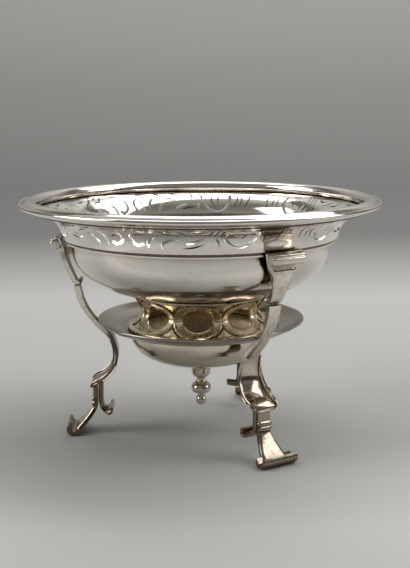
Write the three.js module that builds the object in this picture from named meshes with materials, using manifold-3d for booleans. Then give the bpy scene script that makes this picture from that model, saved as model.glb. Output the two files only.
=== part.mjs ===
// Dish warmer: a silver charcoal brazier with a pierced bowl, a ring gallery, an ash bowl and three scroll legs.
// Millimetres, +Z up, floor at z = 0, front of the object towards -Y, origin on the bowl's axis at the floor.

import * as THREE from "three";
import { mergeVertices } from "three/addons/utils/BufferGeometryUtils.js";
import Module from "manifold-3d";

const wasm = await Module();
wasm.setup();

// Driving dimensions
const GAP = 0.3;
const RIM_RADIUS = 100;
const CREST_Z = 134.5;
const BEAD_RADIUS = 1.2;
const BORDER_WALL = 1.4;
const FLARE_FOOT = [76.0, 113.6];
const FLARE_PULL = [77.2, 125.0];
const FLARE_LIP = [90.6, 128.0];
const SHOULDER_RADIUS = 75.4;
const BELLY_RADIUS = 71.5;
const BOWL_WALL = 1.3;
const BOWL_TOP_Z = 113.0;
const BOWL_BOTTOM_Z = 81.8;
const BOWL_HOLE_RADIUS = 30;
const GRATE_RADIUS = 37.4;
const GRATE_THICKNESS = 1.2;
const RING_COUNT = 8;
const FIRST_RING = -2.5;
const RING_CENTRE_Z = 70.7;
const RING_OUTER = [13.15, 9.0];
const RING_HOLE = [8.4, 5.8];
const GALLERY_TOP_Z = BOWL_BOTTOM_Z - GAP;
const GALLERY_FOOT_Z = 61.2;
const DISH_RADIUS = 58;
const DISH_HOLE_RADIUS = 36.6;
const DISH_FLOOR_Z = GALLERY_FOOT_Z - GAP;
const DISH_WALL = 1.2;
const ASH_RADIUS = 40.4;
const ASH_BOTTOM_Z = 39.6;
const ASH_WALL = 1.2;
const ASH_TOP_Z = DISH_FLOOR_Z - DISH_WALL - GAP;
const FINIAL_TOP_Z = ASH_BOTTOM_Z - GAP;
const FINIAL_TIP_Z = 14.4;
const STUD_RADIUS = 1.8;
const STUD_HOLE_RADIUS = 2.3;
const LEG_AZIMUTHS = { front_right: 33, left: -88, back: 153 };
const ROLL_CENTRE = [79.3, 110.0];
const ROLL_RADIUS = 3.4;
const TOE_WIDTH = 21.8;

// How finely round work is divided: both counts divide by four, so the widths across are exact
const BOWL_SEGMENTS = 44;
const SMALL_SEGMENTS = 36;
const FINIAL_SEGMENTS = 12;

const radians = THREE.MathUtils.degToRad;
const lerp = THREE.MathUtils.lerp;

// Mesh tools

function signedVolume(points, faces) {
  let six = 0;
  for (const [a, b, c] of faces) {
    six += points[a].dot(new THREE.Vector3().crossVectors(points[b], points[c]));
  }
  return six / 6;
}

function meshOf(points, faces) {
  const outward = signedVolume(points, faces) > 0 ? faces : faces.map(([a, b, c]) => [a, c, b]);
  const geometry = new THREE.BufferGeometry().setFromPoints(points);
  geometry.setIndex(outward.flat());
  return geometry;
}

// Joins rings of points, each as long as the others, into one closed skin. A looped skin's last ring meets its
// first; any other is closed at both ends by the cap, a list of triangles over one ring.
function skin(rings, { looped = false, cap = null } = {}) {
  const size = rings[0].length;
  const faces = [];
  const spans = looped ? rings.length : rings.length - 1;
  for (let i = 0; i < spans; i++) {
    const here = i * size;
    const next = ((i + 1) % rings.length) * size;
    for (let j = 0; j < size; j++) {
      const k = (j + 1) % size;
      faces.push([here + j, here + k, next + k], [here + j, next + k, next + j]);
    }
  }
  if (!looped) {
    const last = (rings.length - 1) * size;
    const fan = cap ?? Array.from({ length: size - 2 }, (_, j) => [0, j + 1, j + 2]);
    for (const [a, b, c] of fan) {
      faces.push([a, c, b], [last + a, last + b, last + c]);
    }
  }
  return meshOf(rings.flat(), faces);
}

// Turns an outline of [radius, height] points about the Z axis, starting at the front
function turn(outline, segments = BOWL_SEGMENTS) {
  const points = outline.map(([r, z]) => new THREE.Vector2(r, z));
  if (THREE.ShapeUtils.area(points) < 0) {
    points.reverse();
  }
  const onAxis = points.findIndex((p, i) => p.x === 0 && points[(i + points.length - 1) % points.length].x === 0);
  const profile = onAxis < 0 ? [...points, points[0]] : [...points.slice(onAxis), ...points.slice(0, onAxis)];
  return new THREE.LatheGeometry(profile, segments).rotateX(Math.PI / 2);
}

function toSolid(geometry) {
  const bare = geometry.clone();
  bare.deleteAttribute("normal");
  bare.deleteAttribute("uv");
  const merged = mergeVertices(bare, 1e-4);
  const triangles = [];
  for (let i = 0; i < merged.index.count; i += 3) {
    const [a, b, c] = [0, 1, 2].map((k) => merged.index.getX(i + k));
    if (a !== b && b !== c && c !== a) {
      triangles.push(a, b, c);
    }
  }
  const vertProperties = new Float32Array(merged.attributes.position.array);
  return new wasm.Manifold(new wasm.Mesh({ numProp: 3, vertProperties, triVerts: new Uint32Array(triangles) }));
}

function toGeometry(solid) {
  const { vertProperties, triVerts } = solid.getMesh();
  const geometry = new THREE.BufferGeometry();
  geometry.setAttribute("position", new THREE.BufferAttribute(vertProperties, 3));
  geometry.setIndex(new THREE.BufferAttribute(triVerts, 1));
  return geometry;
}

function union(solids) {
  return solids.reduce((sum, solid) => sum.add(solid));
}

// The left-hand parallel of an open path of [r, z] points, at a set distance
function parallel(path, distance) {
  return path.map(([r, z], i) => {
    const [r0, z0] = path[Math.max(i - 1, 0)];
    const [r1, z1] = path[Math.min(i + 1, path.length - 1)];
    const length = Math.hypot(r1 - r0, z1 - z0);
    return [r - (distance * (z1 - z0)) / length, z + (distance * (r1 - r0)) / length];
  });
}

// A sheet's outline: its outer path, then back along the inner one
function sheet(path, thickness) {
  return [...path, ...parallel(path, thickness).reverse()];
}

function arc([r, z], radius, from, to, steps) {
  return Array.from({ length: steps + 1 }, (_, i) => {
    const angle = radians(lerp(from, to, i / steps));
    return [r + radius * Math.cos(angle), z + radius * Math.sin(angle)];
  });
}

// Materials
function silver(color, roughness, metalness = 1) {
  return new THREE.MeshStandardMaterial({ color, roughness, metalness });
}
const polishedSilver = () => silver(0xd6d3cc, 0.16);
const wornSilver = () => silver(0xc2bdb3, 0.24);
const tarnishedSilver = () => silver(0x8f856c, 0.34);
const sootedSilver = () => silver(0x57504a, 0.6);

const dishWarmer = new THREE.Group();

function add(name, geometry, material, parent = dishWarmer) {
  const mesh = new THREE.Mesh(geometry, material);
  mesh.name = name;
  parent.add(mesh);
  return mesh;
}

// Rim moulding: a bead, a step and a slope up to the flat crest, rebated over the border's lip
function rimMoulding() {
  const beadCentre = [RIM_RADIUS - BEAD_RADIUS, CREST_Z - 2.8];
  return turn([
    [91.95, 128.3],
    [95.0, 129.0],
    ...arc(beadCentre, BEAD_RADIUS, -90, 90, 4),
    [97.4, 132.6],
    [94.2, CREST_Z],
    [92.6, CREST_Z],
    [90.7, 133.5],
    [89.6, 131.2],
    [89.7, 129.1],
    [91.95, 129.4],
  ]);
}

// Pierced border: the flare, its lip, and the shoulder at its foot
const flare = new THREE.QuadraticBezierCurve(
  new THREE.Vector2(...FLARE_FOOT),
  new THREE.Vector2(...FLARE_PULL),
  new THREE.Vector2(...FLARE_LIP),
);
const flareLength = flare.getLength();

// The point at a height along the flare, moved off its middle surface by out
function onFlare(height, out) {
  const along = THREE.MathUtils.clamp(height / flareLength, 0, 1);
  const point = flare.getPointAt(along);
  const tangent = flare.getTangentAt(along);
  return [point.x + out * tangent.y, point.y - out * tangent.x];
}

function borderWall() {
  const half = BORDER_WALL / 2;
  const steps = 4;
  const outer = Array.from({ length: steps + 1 }, (_, i) => onFlare((flareLength * i) / steps, half));
  const inner = outer.map((_, i) => onFlare((flareLength * i) / steps, -half)).reverse();
  inner[inner.length - 1] = [75.4, 115.2];
  const seat = BELLY_RADIUS + 0.4;
  return turn([
    [seat, 110.8],
    [74.6, 110.8],
    [SHOULDER_RADIUS, 111.4],
    [SHOULDER_RADIUS, 112.6],
    [75.0, 113.0],
    ...outer,
    [91.6, 127.6],
    [91.4, 128.8],
    ...inner,
    [seat, 113.2],
  ]);
}

// The frieze is one half panel of cut scrolls and leaves, mirrored about the panel's middle and repeated
// between the legs. A cut is a tapered stroke: [degrees from the middle, height along the flare, half width].
const PANEL_MIDDLE = -26.4;
const PANEL_COUNT = 3;
const FRIEZE_RADIUS = 81;
const CUT_REACH = 1.9;
const HALF_PANEL = {
  hook: [
    [4.2, 13.0, 0.3],
    [2.1, 10.6, 0.8],
    [1.8, 7.2, 0.95],
    [2.9, 4.6, 0.9],
    [4.6, 4.1, 0.9],
    [6.1, 5.8, 1.2],
  ],
  comma: [
    [12.8, 12.6, 0],
    [10.8, 9.6, 0.8],
    [9.0, 6.8, 1.0],
    [8.6, 3.6, 0.7],
  ],
  crescent: [
    [18.6, 9.4, 0],
    [15.8, 7.2, 1.25],
    [13.2, 2.8, 0.2],
  ],
  wavy_leaf: [
    [21.4, 5.2, 0],
    [24.6, 6.6, 1.1],
    [28.2, 8.6, 0],
  ],
  teardrop: [
    [31.8, 9.8, 0],
    [32.4, 7.0, 0.9],
    [32.9, 5.0, 0],
  ],
  open_c: [
    [36.6, 14.0, 0],
    [34.9, 10.2, 0.7],
    [36.4, 5.9, 0.85],
    [39.6, 3.5, 0.65],
    [43.0, 3.3, 0.6],
    [45.8, 6.0, 0.95],
    [47.2, 10.4, 1.25],
    [46.0, 15.6, 0.9],
  ],
};

// The outline of a tapered stroke on the flattened flare, with a point where its half width is nought
function strokeOutline(stroke) {
  const mmPerDegree = radians(FRIEZE_RADIUS);
  const path = new THREE.SplineCurve(stroke.map(([degrees, height]) => new THREE.Vector2(degrees * mmPerDegree, height)));
  const spans = stroke.length - 1;
  const steps = Math.max(3, spans);
  const left = [];
  const right = [];
  for (let i = 0; i <= steps; i++) {
    const t = i / steps;
    const span = Math.min(Math.floor(t * spans), spans - 1);
    const width = lerp(stroke[span][2], stroke[span + 1][2], t * spans - span);
    const point = path.getPoint(t);
    const tangent = path.getTangent(t);
    const side = new THREE.Vector2(-tangent.y, tangent.x).multiplyScalar(width);
    right.push(point.clone().sub(side));
    if (width > 0) {
      left.push(point.clone().add(side));
    }
  }
  return [...right, ...left.reverse()];
}

// A saw cut through the wall: the stroke laid on the flare, and swept along the wall's normal at its middle
function friezeCutter(stroke, middle, mirror) {
  const outline = strokeOutline(stroke);
  const onWall = ({ x, y }, out) => {
    const azimuth = radians(middle) + (mirror * x) / FRIEZE_RADIUS;
    const [r, z] = onFlare(y, out);
    return new THREE.Vector3(r * Math.sin(azimuth), -r * Math.cos(azimuth), z);
  };
  const centre = new THREE.Box2().setFromPoints(outline).getCenter(new THREE.Vector2());
  const through = onWall(centre, 1).sub(onWall(centre, 0)).multiplyScalar(CUT_REACH);
  const face = outline.map((point) => onWall(point, 0));
  const rings = [face.map((point) => point.clone().sub(through)), face.map((point) => point.clone().add(through))];
  return toSolid(skin(rings, { cap: THREE.ShapeUtils.triangulateShape(outline, []) }));
}

function piercedBorder() {
  let border = toSolid(borderWall());
  for (let panel = 0; panel < PANEL_COUNT; panel++) {
    const middle = PANEL_MIDDLE + (360 / PANEL_COUNT) * panel;
    for (const stroke of Object.values(HALF_PANEL)) {
      for (const mirror of [-1, 1]) {
        border = border.subtract(friezeCutter(stroke, middle, mirror));
      }
    }
  }
  return toGeometry(border);
}

// Bowl pan: the raised belly, open at the bottom over the ash bowl
function bowlPan() {
  return turn(
    sheet(
      [
        [BOWL_HOLE_RADIUS, BOWL_BOTTOM_Z],
        [38.0, BOWL_BOTTOM_Z],
        [50.5, 84.6],
        [58.6, 88.4],
        [65.0, 93.2],
        [69.2, 98.6],
        [71.1, 104.0],
        [BELLY_RADIUS, BOWL_TOP_Z],
      ],
      BOWL_WALL,
    ),
  );
}

// Grate: the loose pierced plate over the bowl's hole
function grate() {
  const circle = (x, y, radius, sides) =>
    Array.from({ length: sides }, (_, i) => {
      const angle = (2 * Math.PI * i) / sides;
      return new THREE.Vector2(x + radius * Math.cos(angle), y + radius * Math.sin(angle));
    });
  const shape = new THREE.Shape(circle(0, 0, GRATE_RADIUS, SMALL_SEGMENTS));
  const holeRadius = 3.4;
  for (const [ring, holes] of [[0, 1], [12.5, 6], [25, 12]]) {
    for (let i = 0; i < holes; i++) {
      const angle = (2 * Math.PI * i) / holes;
      shape.holes.push(new THREE.Path(circle(ring * Math.cos(angle), ring * Math.sin(angle), holeRadius, 6)));
    }
  }
  const plate = new THREE.ExtrudeGeometry(shape, { depth: GRATE_THICKNESS, bevelEnabled: false });
  return plate.translate(0, 0, BOWL_BOTTOM_Z + BOWL_WALL + GAP);
}

// Gallery bead: the wire round the gallery's top
function galleryBead() {
  const inner = 37.8;
  const outer = 39.1;
  return turn(
    [
      [inner, GALLERY_TOP_Z - 1.4],
      [outer - 0.3, GALLERY_TOP_Z - 1.4],
      [outer, GALLERY_TOP_Z - 0.8],
      [outer - 0.3, GALLERY_TOP_Z],
      [inner, GALLERY_TOP_Z],
    ],
    SMALL_SEGMENTS,
  );
}

// Gallery: eight oval rings side by side on a waisted surface, between a top band and a foot band
const WAIST_AXIS_RADIUS = 32.0;
const WAIST_ROUNDING = 1.3;
const WAIST_RADIUS = WAIST_AXIS_RADIUS + WAIST_ROUNDING;
const WAIST_Z = 70.9;
const SLOPE_ABOVE = 0.62;
const SLOPE_BELOW = 0.78;
const RING_BACK = -1.9;

function onWaist(azimuth, z, out) {
  const slope = z > WAIST_Z ? SLOPE_ABOVE : SLOPE_BELOW;
  const r = WAIST_AXIS_RADIUS + Math.hypot(WAIST_ROUNDING, slope * (z - WAIST_Z)) + out;
  return new THREE.Vector3(r * Math.sin(azimuth), -r * Math.cos(azimuth), z);
}

// One oval ring: its section runs from the hole (0) to the outer edge (1), with a raised rim at the outer edge
function ovalRing(azimuth) {
  const steps = 20;
  const section = [
    [0, RING_BACK],
    [1, RING_BACK],
    [1, 0.4],
    [0.7, 0.4],
    [0, -0.5],
  ];
  const rings = [];
  for (let i = 0; i < steps; i++) {
    const angle = (2 * Math.PI * i) / steps;
    rings.push(
      section.map(([across, out]) => {
        const along = lerp(RING_HOLE[0], RING_OUTER[0], across) * Math.cos(angle);
        const z = RING_CENTRE_Z + lerp(RING_HOLE[1], RING_OUTER[1], across) * Math.sin(angle);
        return onWaist(azimuth + along / WAIST_RADIUS, z, out);
      }),
    );
  }
  return toSolid(skin(rings, { looped: true }));
}

// A curved triangle between two rings, on the top band (side 1) or the foot band (side -1), with a slot to each ring
function spandrel(azimuth, side, bandZ, slot) {
  const halfPitch = (Math.PI * WAIST_RADIUS) / RING_COUNT;
  const width = RING_OUTER[0] + slot;
  const height = RING_OUTER[1] + slot;
  const tip = Math.acos(halfPitch / width);
  const base = Math.asin(Math.abs(bandZ - RING_CENTRE_Z) / height);
  const steps = 3;
  const right = Array.from({ length: steps }, (_, i) => {
    const angle = lerp(tip, base, (i + 1) / steps);
    return [halfPitch - width * Math.cos(angle), RING_CENTRE_Z + side * height * Math.sin(angle)];
  });
  const left = right.map(([along, z]) => [-along, z]).reverse();
  const outline = [[0, RING_CENTRE_Z + side * height * Math.sin(tip)], ...right, ...left];
  if (side < 0) {
    outline.reverse();
  }
  const rings = [RING_BACK, 0].map((out) =>
    outline.map(([along, z]) => onWaist(azimuth + along / WAIST_RADIUS, z, out)),
  );
  const flat = outline.map(([along, z]) => new THREE.Vector2(along, z));
  return toSolid(skin(rings, { cap: THREE.ShapeUtils.triangulateShape(flat, []) }));
}

function gallery() {
  const topBand = toSolid(
    turn(
      [
        [35.4, GALLERY_TOP_Z - 2.3],
        [36.8, GALLERY_TOP_Z - 2.3],
        [37.5, GALLERY_TOP_Z - 1.7],
        [37.5, GALLERY_TOP_Z],
        [35.4, GALLERY_TOP_Z],
      ],
      SMALL_SEGMENTS,
    ),
  );
  const footBand = toSolid(
    turn(
      [
        [37.2, GALLERY_FOOT_Z],
        [41.0, GALLERY_FOOT_Z],
        [40.8, GALLERY_FOOT_Z + 1.0],
        [39.6, GALLERY_FOOT_Z + 1.6],
        [37.2, GALLERY_FOOT_Z + 1.6],
      ],
      SMALL_SEGMENTS,
    ),
  );
  const pitch = (2 * Math.PI) / RING_COUNT;
  const rings = [];
  const spandrels = [];
  for (let i = 0; i < RING_COUNT; i++) {
    const azimuth = radians(FIRST_RING) + pitch * i;
    rings.push(ovalRing(azimuth));
    spandrels.push(spandrel(azimuth + pitch / 2, 1, GALLERY_TOP_Z - 2.0, 1.5));
    spandrels.push(spandrel(azimuth + pitch / 2, -1, GALLERY_FOOT_Z + 1.2, 1.0));
  }
  return toGeometry(union([topBand, footBand, ...spandrels, ...rings]));
}

// Drip dish: flat where the gallery stands, then rising to a lip
function dripDish() {
  const floor = DISH_FLOOR_Z;
  return turn(
    [
      [DISH_HOLE_RADIUS, floor - DISH_WALL],
      [43.6, floor - DISH_WALL],
      [48.6, 60.8],
      [53.4, 62.7],
      [57.2, 65.0],
      [DISH_RADIUS, 65.6],
      [DISH_RADIUS, 66.4],
      [57.3, 66.6],
      [52.4, 63.6],
      [47.6, 61.8],
      [44.3, 61.3],
      [43.2, floor],
      [DISH_HOLE_RADIUS, floor],
    ],
    SMALL_SEGMENTS,
  );
}

// Ash bowl: round-bottomed, with a hole for the finial's stud
function ashBowl() {
  return turn(
    sheet(
      [
        [STUD_HOLE_RADIUS, ASH_BOTTOM_Z],
        [9.0, ASH_BOTTOM_Z],
        [20.0, 41.4],
        [29.4, 44.3],
        [36.3, 49.0],
        [39.8, 54.8],
        [ASH_RADIUS, 57.4],
        [ASH_RADIUS, ASH_TOP_Z],
      ],
      ASH_WALL,
    ),
    SMALL_SEGMENTS,
  );
}

// Finial: a turned drop with its stud
function finial() {
  const ballRadius = 3.0;
  const ball = arc([0, FINIAL_TIP_Z + ballRadius], ballRadius, -60, 50, 4);
  const studTop = ASH_BOTTOM_Z + 6.3;
  return turn(
    [
      [0, FINIAL_TIP_Z],
      ...ball,
      [1.9, 20.2],
      [2.8, 21.2],
      [5.1, 22.9],
      [5.8, 24.6],
      [5.1, 26.4],
      [3.4, 28.0],
      [2.5, 28.8],
      [2.5, 31.0],
      [4.4, 31.7],
      [5.3, 33.2],
      [5.6, 36.4],
      [6.3, 37.2],
      [6.3, FINIAL_TOP_Z - 0.5],
      [5.8, FINIAL_TOP_Z],
      [STUD_RADIUS, FINIAL_TOP_Z],
      [STUD_RADIUS, studTop],
      [0, studTop],
    ],
    FINIAL_SEGMENTS,
  );
}

function finialWasher() {
  const bottom = ASH_BOTTOM_Z + ASH_WALL + GAP;
  const inner = 2.2;
  const outer = 6;
  const thickness = 0.8;
  return turn(
    [[inner, bottom], [outer, bottom], [outer, bottom + thickness], [inner, bottom + thickness]],
    FINIAL_SEGMENTS,
  );
}

function finialNut() {
  const acrossCorners = 9.4;
  const hole = new THREE.Path().absarc(0, 0, 2.1, 0, 2 * Math.PI);
  const corners = Array.from({ length: 6 }, (_, i) => {
    const angle = (Math.PI * i) / 3;
    return new THREE.Vector2((acrossCorners / 2) * Math.cos(angle), (acrossCorners / 2) * Math.sin(angle));
  });
  const shape = new THREE.Shape(corners);
  shape.holes.push(hole);
  const nut = new THREE.ExtrudeGeometry(shape, { depth: 2.8, bevelEnabled: false, curveSegments: 6 });
  return nut.translate(0, 0, ASH_BOTTOM_Z + ASH_WALL + 1.4);
}

// A cast strap swept along its stations in a leg's own frame: X out from the axis, Y across, Z up. Each station
// is [radius, height, width, thickness]. The strap's outer face has bevelled edges.
function strap(stations, stepsPerSpan) {
  const path = new THREE.CatmullRomCurve3(
    stations.map(([r, z]) => new THREE.Vector3(r, 0, z)),
    false,
    "centripetal",
  );
  const spans = stations.length - 1;
  const steps = spans * stepsPerSpan;
  const rings = [];
  for (let i = 0; i <= steps; i++) {
    const t = i / steps;
    const span = Math.min(Math.floor(t * spans), spans - 1);
    const mix = t * spans - span;
    const half = lerp(stations[span][2], stations[span + 1][2], mix) / 2;
    const deep = lerp(stations[span][3], stations[span + 1][3], mix) / 2;
    const bevel = Math.min(0.9, 0.7 * deep);
    const centre = path.getPoint(t);
    const tangent = path.getTangent(t);
    const section = [
      [-half, -deep],
      [half, -deep],
      [half, deep - bevel],
      [half - bevel, deep],
      [bevel - half, deep],
      [-half, deep - bevel],
    ];
    rings.push(
      section.map(([across, out]) =>
        new THREE.Vector3(centre.x - out * tangent.z, across, centre.z + out * tangent.x)),
    );
  }
  return skin(rings);
}

// Upper scroll: the reeded roll at its top, the tapering front with its cross bar, the hook at its foot, and the
// lug on the bowl
function legScroll() {
  const reeds = 8;
  const outline = Array.from({ length: 2 * reeds }, (_, i) => {
    const radius = i % 2 ? ROLL_RADIUS - 0.4 : ROLL_RADIUS;
    const angle = (Math.PI * i) / reeds;
    return new THREE.Vector2(ROLL_CENTRE[0] + radius * Math.cos(angle), ROLL_CENTRE[1] + radius * Math.sin(angle));
  });
  const rollWidth = 20.4;
  const roll = new THREE.ExtrudeGeometry(new THREE.Shape(outline), { depth: rollWidth, bevelEnabled: false })
    .rotateX(Math.PI / 2)
    .translate(0, rollWidth / 2, 0);
  const front = strap(
    [
      [77.4, 108.8, 19.4, 2.0],
      [75.9, 106.5, 18.2, 2.4],
      [75.8, 104.4, 16.6, 2.8],
      [75.3, 101.0, 12.8, 3.0],
      [74.0, 96.1, 10.0, 3.1],
      [72.0, 91.6, 8.4, 3.1],
      [70.6, 88.4, 7.6, 3.0],
      [69.2, 87.0, 7.4, 2.6],
      [67.7, 87.0, 7.0, 2.2],
      [66.8, 88.1, 6.6, 1.8],
      [66.9, 89.4, 6.0, 1.4],
    ],
    1,
  );
  const crossBar = new THREE.BoxGeometry(2, 13.2, 2.4).translate(76.8, 0, 103.2);
  const lugFrom = BELLY_RADIUS + 0.4;
  const lugTo = 75.6;
  const lug = new THREE.BoxGeometry(lugTo - lugFrom, 8, 4).translate((lugFrom + lugTo) / 2, 0, 105);
  return toGeometry(union([roll, front, crossBar, lug].map(toSolid)));
}

// S-shaped strap: from under the scroll, past the drip dish, to the broad lobe
function legStrap() {
  return strap(
    [
      [69.0, 84.9, 7.6, 4.0],
      [67.6, 78.4, 7.2, 3.9],
      [64.4, 71.2, 7.0, 3.2],
      [58.2, 63.0, 7.2, 3.0],
      [53.9, 58.8, 8.0, 3.0],
      [50.3, 54.4, 9.8, 3.0],
      [48.4, 49.2, 12.0, 3.0],
      [48.3, 43.6, 14.2, 2.9],
      [49.7, 38.8, 15.8, 2.8],
      [52.9, 34.6, 17.0, 2.7],
      [56.6, 31.8, 17.4, 2.6],
      [60.0, 30.2, 16.8, 2.4],
      [61.6, 28.4, 15.0, 2.2],
      [61.8, 27.0, 11.6, 2.0],
    ],
    1,
  );
}

// Outer foot: a strap with two mouldings, bent out to the bar, which is flat where it stands on the floor
function toeFoot() {
  const foot = strap(
    [
      [60.3, 26.4, 7.6, 2.9],
      [60.3, 20.7, 7.8, 2.9],
      [60.7, 19.5, 8.8, 3.7],
      [60.3, 18.3, 7.8, 2.9],
      [60.7, 16.9, 8.8, 3.7],
      [60.5, 15.4, 7.8, 2.9],
      [62.2, 12.0, 9.2, 2.9],
      [65.0, 8.3, 11.6, 2.9],
      [67.9, 5.2, 13.8, 2.8],
      [69.0, 3.9, TOE_WIDTH, 2.6],
      [70.8, 1.1, TOE_WIDTH, 2.6],
      [73.5, 1.1, TOE_WIDTH, 2.6],
      [75.2, 2.9, TOE_WIDTH, 2.3],
      [75.7, 5.3, TOE_WIDTH - 0.6, 1.9],
    ],
    1,
  );
  const belowFloor = new THREE.BoxGeometry(40, 40, 10).translate(72, 0, -5);
  return toGeometry(toSolid(foot).subtract(toSolid(belowFloor)));
}

// Inner foot: a strap behind the outer one, bent in to a curled spur above the floor
function spurFoot() {
  return strap(
    [
      [57.0, 29.2, 7.4, 2.5],
      [57.1, 24.0, 7.6, 2.7],
      [57.1, 18.0, 7.6, 2.7],
      [56.6, 15.2, 8.0, 2.6],
      [55.3, 13.0, 9.4, 2.4],
      [53.8, 12.0, 11.6, 2.2],
      [53.1, 11.9, 16.0, 2.2],
      [51.8, 12.4, 16.5, 2.2],
      [51.0, 13.8, 16.5, 2.0],
      [51.2, 15.6, 16.0, 1.8],
    ],
    1,
  );
}

add("rim_moulding", rimMoulding(), polishedSilver());
add("pierced_border", piercedBorder(), polishedSilver());
add("bowl_pan", bowlPan(), wornSilver());
add("grate", grate(), sootedSilver());
add("gallery_bead", galleryBead(), tarnishedSilver());
add("gallery", gallery(), tarnishedSilver());
add("drip_dish", dripDish(), polishedSilver());
add("ash_bowl", ashBowl(), wornSilver());
add("finial", finial(), polishedSilver());
add("finial_washer", finialWasher(), sootedSilver());
add("finial_nut", finialNut(), sootedSilver());

const legPieces = { leg_scroll: legScroll(), leg_strap: legStrap(), toe_foot: toeFoot(), spur_foot: spurFoot() };
for (const [place, azimuth] of Object.entries(LEG_AZIMUTHS)) {
  const leg = new THREE.Group();
  leg.rotation.z = radians(azimuth - 90);
  for (const [piece, geometry] of Object.entries(legPieces)) {
    add(`${piece}_${place}`, geometry, polishedSilver(), leg);
  }
  dishWarmer.add(leg);
}

export default dishWarmer;
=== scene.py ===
import bisect
import math

import bmesh
import bpy
from mathutils import Matrix, Vector
from mathutils.geometry import delaunay_2d_cdt


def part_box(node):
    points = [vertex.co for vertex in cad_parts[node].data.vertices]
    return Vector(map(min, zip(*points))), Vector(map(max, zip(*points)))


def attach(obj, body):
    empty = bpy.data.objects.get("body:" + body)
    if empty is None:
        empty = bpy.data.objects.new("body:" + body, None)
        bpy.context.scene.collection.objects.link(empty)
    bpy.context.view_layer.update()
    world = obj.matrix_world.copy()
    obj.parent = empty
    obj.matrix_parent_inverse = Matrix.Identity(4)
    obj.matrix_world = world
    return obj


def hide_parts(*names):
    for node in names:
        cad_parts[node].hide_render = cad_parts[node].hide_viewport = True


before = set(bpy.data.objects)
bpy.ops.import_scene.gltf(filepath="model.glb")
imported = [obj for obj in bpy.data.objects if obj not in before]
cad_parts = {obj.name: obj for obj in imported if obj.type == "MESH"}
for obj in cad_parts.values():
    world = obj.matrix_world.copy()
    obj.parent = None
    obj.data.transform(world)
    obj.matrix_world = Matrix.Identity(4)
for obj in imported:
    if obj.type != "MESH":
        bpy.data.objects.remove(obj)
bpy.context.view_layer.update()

# Outlines and stations below are in millimetres, in the part's own frame: +Z up, front towards -Y
MM = 0.001
BODY = "brazier"
LOOSE_BODY = "grate_plate"
ROUND_STEPS = 240
SEAM_GAP = 0.3
# Lengths too short to count
TINY = 1e-6
ON_EDGE = 1e-4
CUT_PRECISION = 1e-5
WELD_METRES = 2e-6


def box_mm(node):
    low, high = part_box(node)
    return [v / MM for v in low], [v / MM for v in high]


RIM_HIGH = box_mm("rim_moulding")[1]
BOWL_LOW, BOWL_HIGH = box_mm("bowl_pan")
BEAD_LOW, BEAD_HIGH = box_mm("gallery_bead")
GALLERY_LOW, GALLERY_HIGH = box_mm("gallery")
DISH_HIGH = box_mm("drip_dish")[1]
ASH_LOW, ASH_HIGH = box_mm("ash_bowl")
FINIAL_LOW, FINIAL_HIGH = box_mm("finial")
GRATE_LOW, GRATE_HIGH = box_mm("grate")

# Degrees from the front, anticlockwise seen from above
LEG_AZIMUTHS = {"front_right": 33, "left": -88, "back": 153}


# Camera: the photograph's own view, fitted to the rim, the dish and the feet

def photo_camera():
    place = Vector((0.0025, -0.567, 0.1916))
    pitch_down = math.radians(10.67)
    roll = math.radians(-0.25)
    focal_px = 1025
    photo_height_px = 568
    sensor_mm = 36
    data = bpy.data.cameras.new("photo_camera")
    data.sensor_fit = "VERTICAL"
    data.sensor_height = sensor_mm
    data.lens = focal_px * sensor_mm / photo_height_px
    data.clip_start = 0.01
    camera = bpy.data.objects.new("photo_camera", data)
    bpy.context.collection.objects.link(camera)
    tilt = Matrix.Rotation(math.pi / 2 - pitch_down, 4, "X")
    camera.matrix_world = Matrix.Translation(place) @ tilt @ Matrix.Rotation(roll, 4, "Z")
    bpy.context.scene.camera = camera


# Curves and outlines

def mirrored(end, neighbour):
    return [2 * a - b for a, b in zip(end, neighbour)]


def catmull_rom(points, steps):
    """A smooth path through points of any dimension, centripetal in its first two values."""
    line = [mirrored(points[0], points[1]), *points, mirrored(points[-1], points[-2])]
    knots = [0.0]
    for p, q in zip(line, line[1:]):
        knots.append(knots[-1] + max(math.dist(p[:2], q[:2]), TINY) ** 0.5)
    path = []
    for i in range(1, len(line) - 2):
        for k in range(steps):
            t = knots[i] + (knots[i + 1] - knots[i]) * k / steps
            path.append(spline_point(line[i - 1:i + 3], knots[i - 1:i + 3], t))
    return path + [list(points[-1])]


def spline_point(points, knots, t):
    """Blends four points, by their knots, down to the one at t."""
    level = points
    for order in range(1, 4):
        level = [
            [
                ((knots[i + order] - t) * a + (t - knots[i]) * b) / (knots[i + order] - knots[i])
                for a, b in zip(level[i], level[i + 1])
            ]
            for i in range(len(level) - 1)
        ]
    return level[0]


def direction(path, i):
    """The unit tangent at point i, in the path's first two values."""
    x0, y0 = path[max(i - 1, 0)][:2]
    x1, y1 = path[min(i + 1, len(path) - 1)][:2]
    length = math.hypot(x1 - x0, y1 - y0)
    return (x1 - x0) / length, (y1 - y0) / length


def arc(centre, radius, start, end, steps):
    angles = [math.radians(start + (end - start) * i / steps) for i in range(steps + 1)]
    return [(centre[0] + radius * math.cos(a), centre[1] + radius * math.sin(a)) for a in angles]


def offset(path, distance):
    """The left-hand parallel of an open path of (r, z) points."""
    moved = []
    for i, (r, z) in enumerate(path):
        along_r, along_z = direction(path, i)
        moved.append((r - distance * along_z, z + distance * along_r))
    return moved


def sheet(path, thickness):
    """The closed outline of a wall that has the path as its outer face."""
    return list(path) + offset(path, thickness)[::-1]


# Meshes

def around(r, z, angle):
    """A turned body's (r, z) as a point in metres, at an angle from the front, anticlockwise from above."""
    return (r * math.sin(angle) * MM, -r * math.cos(angle) * MM, z * MM)


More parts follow.
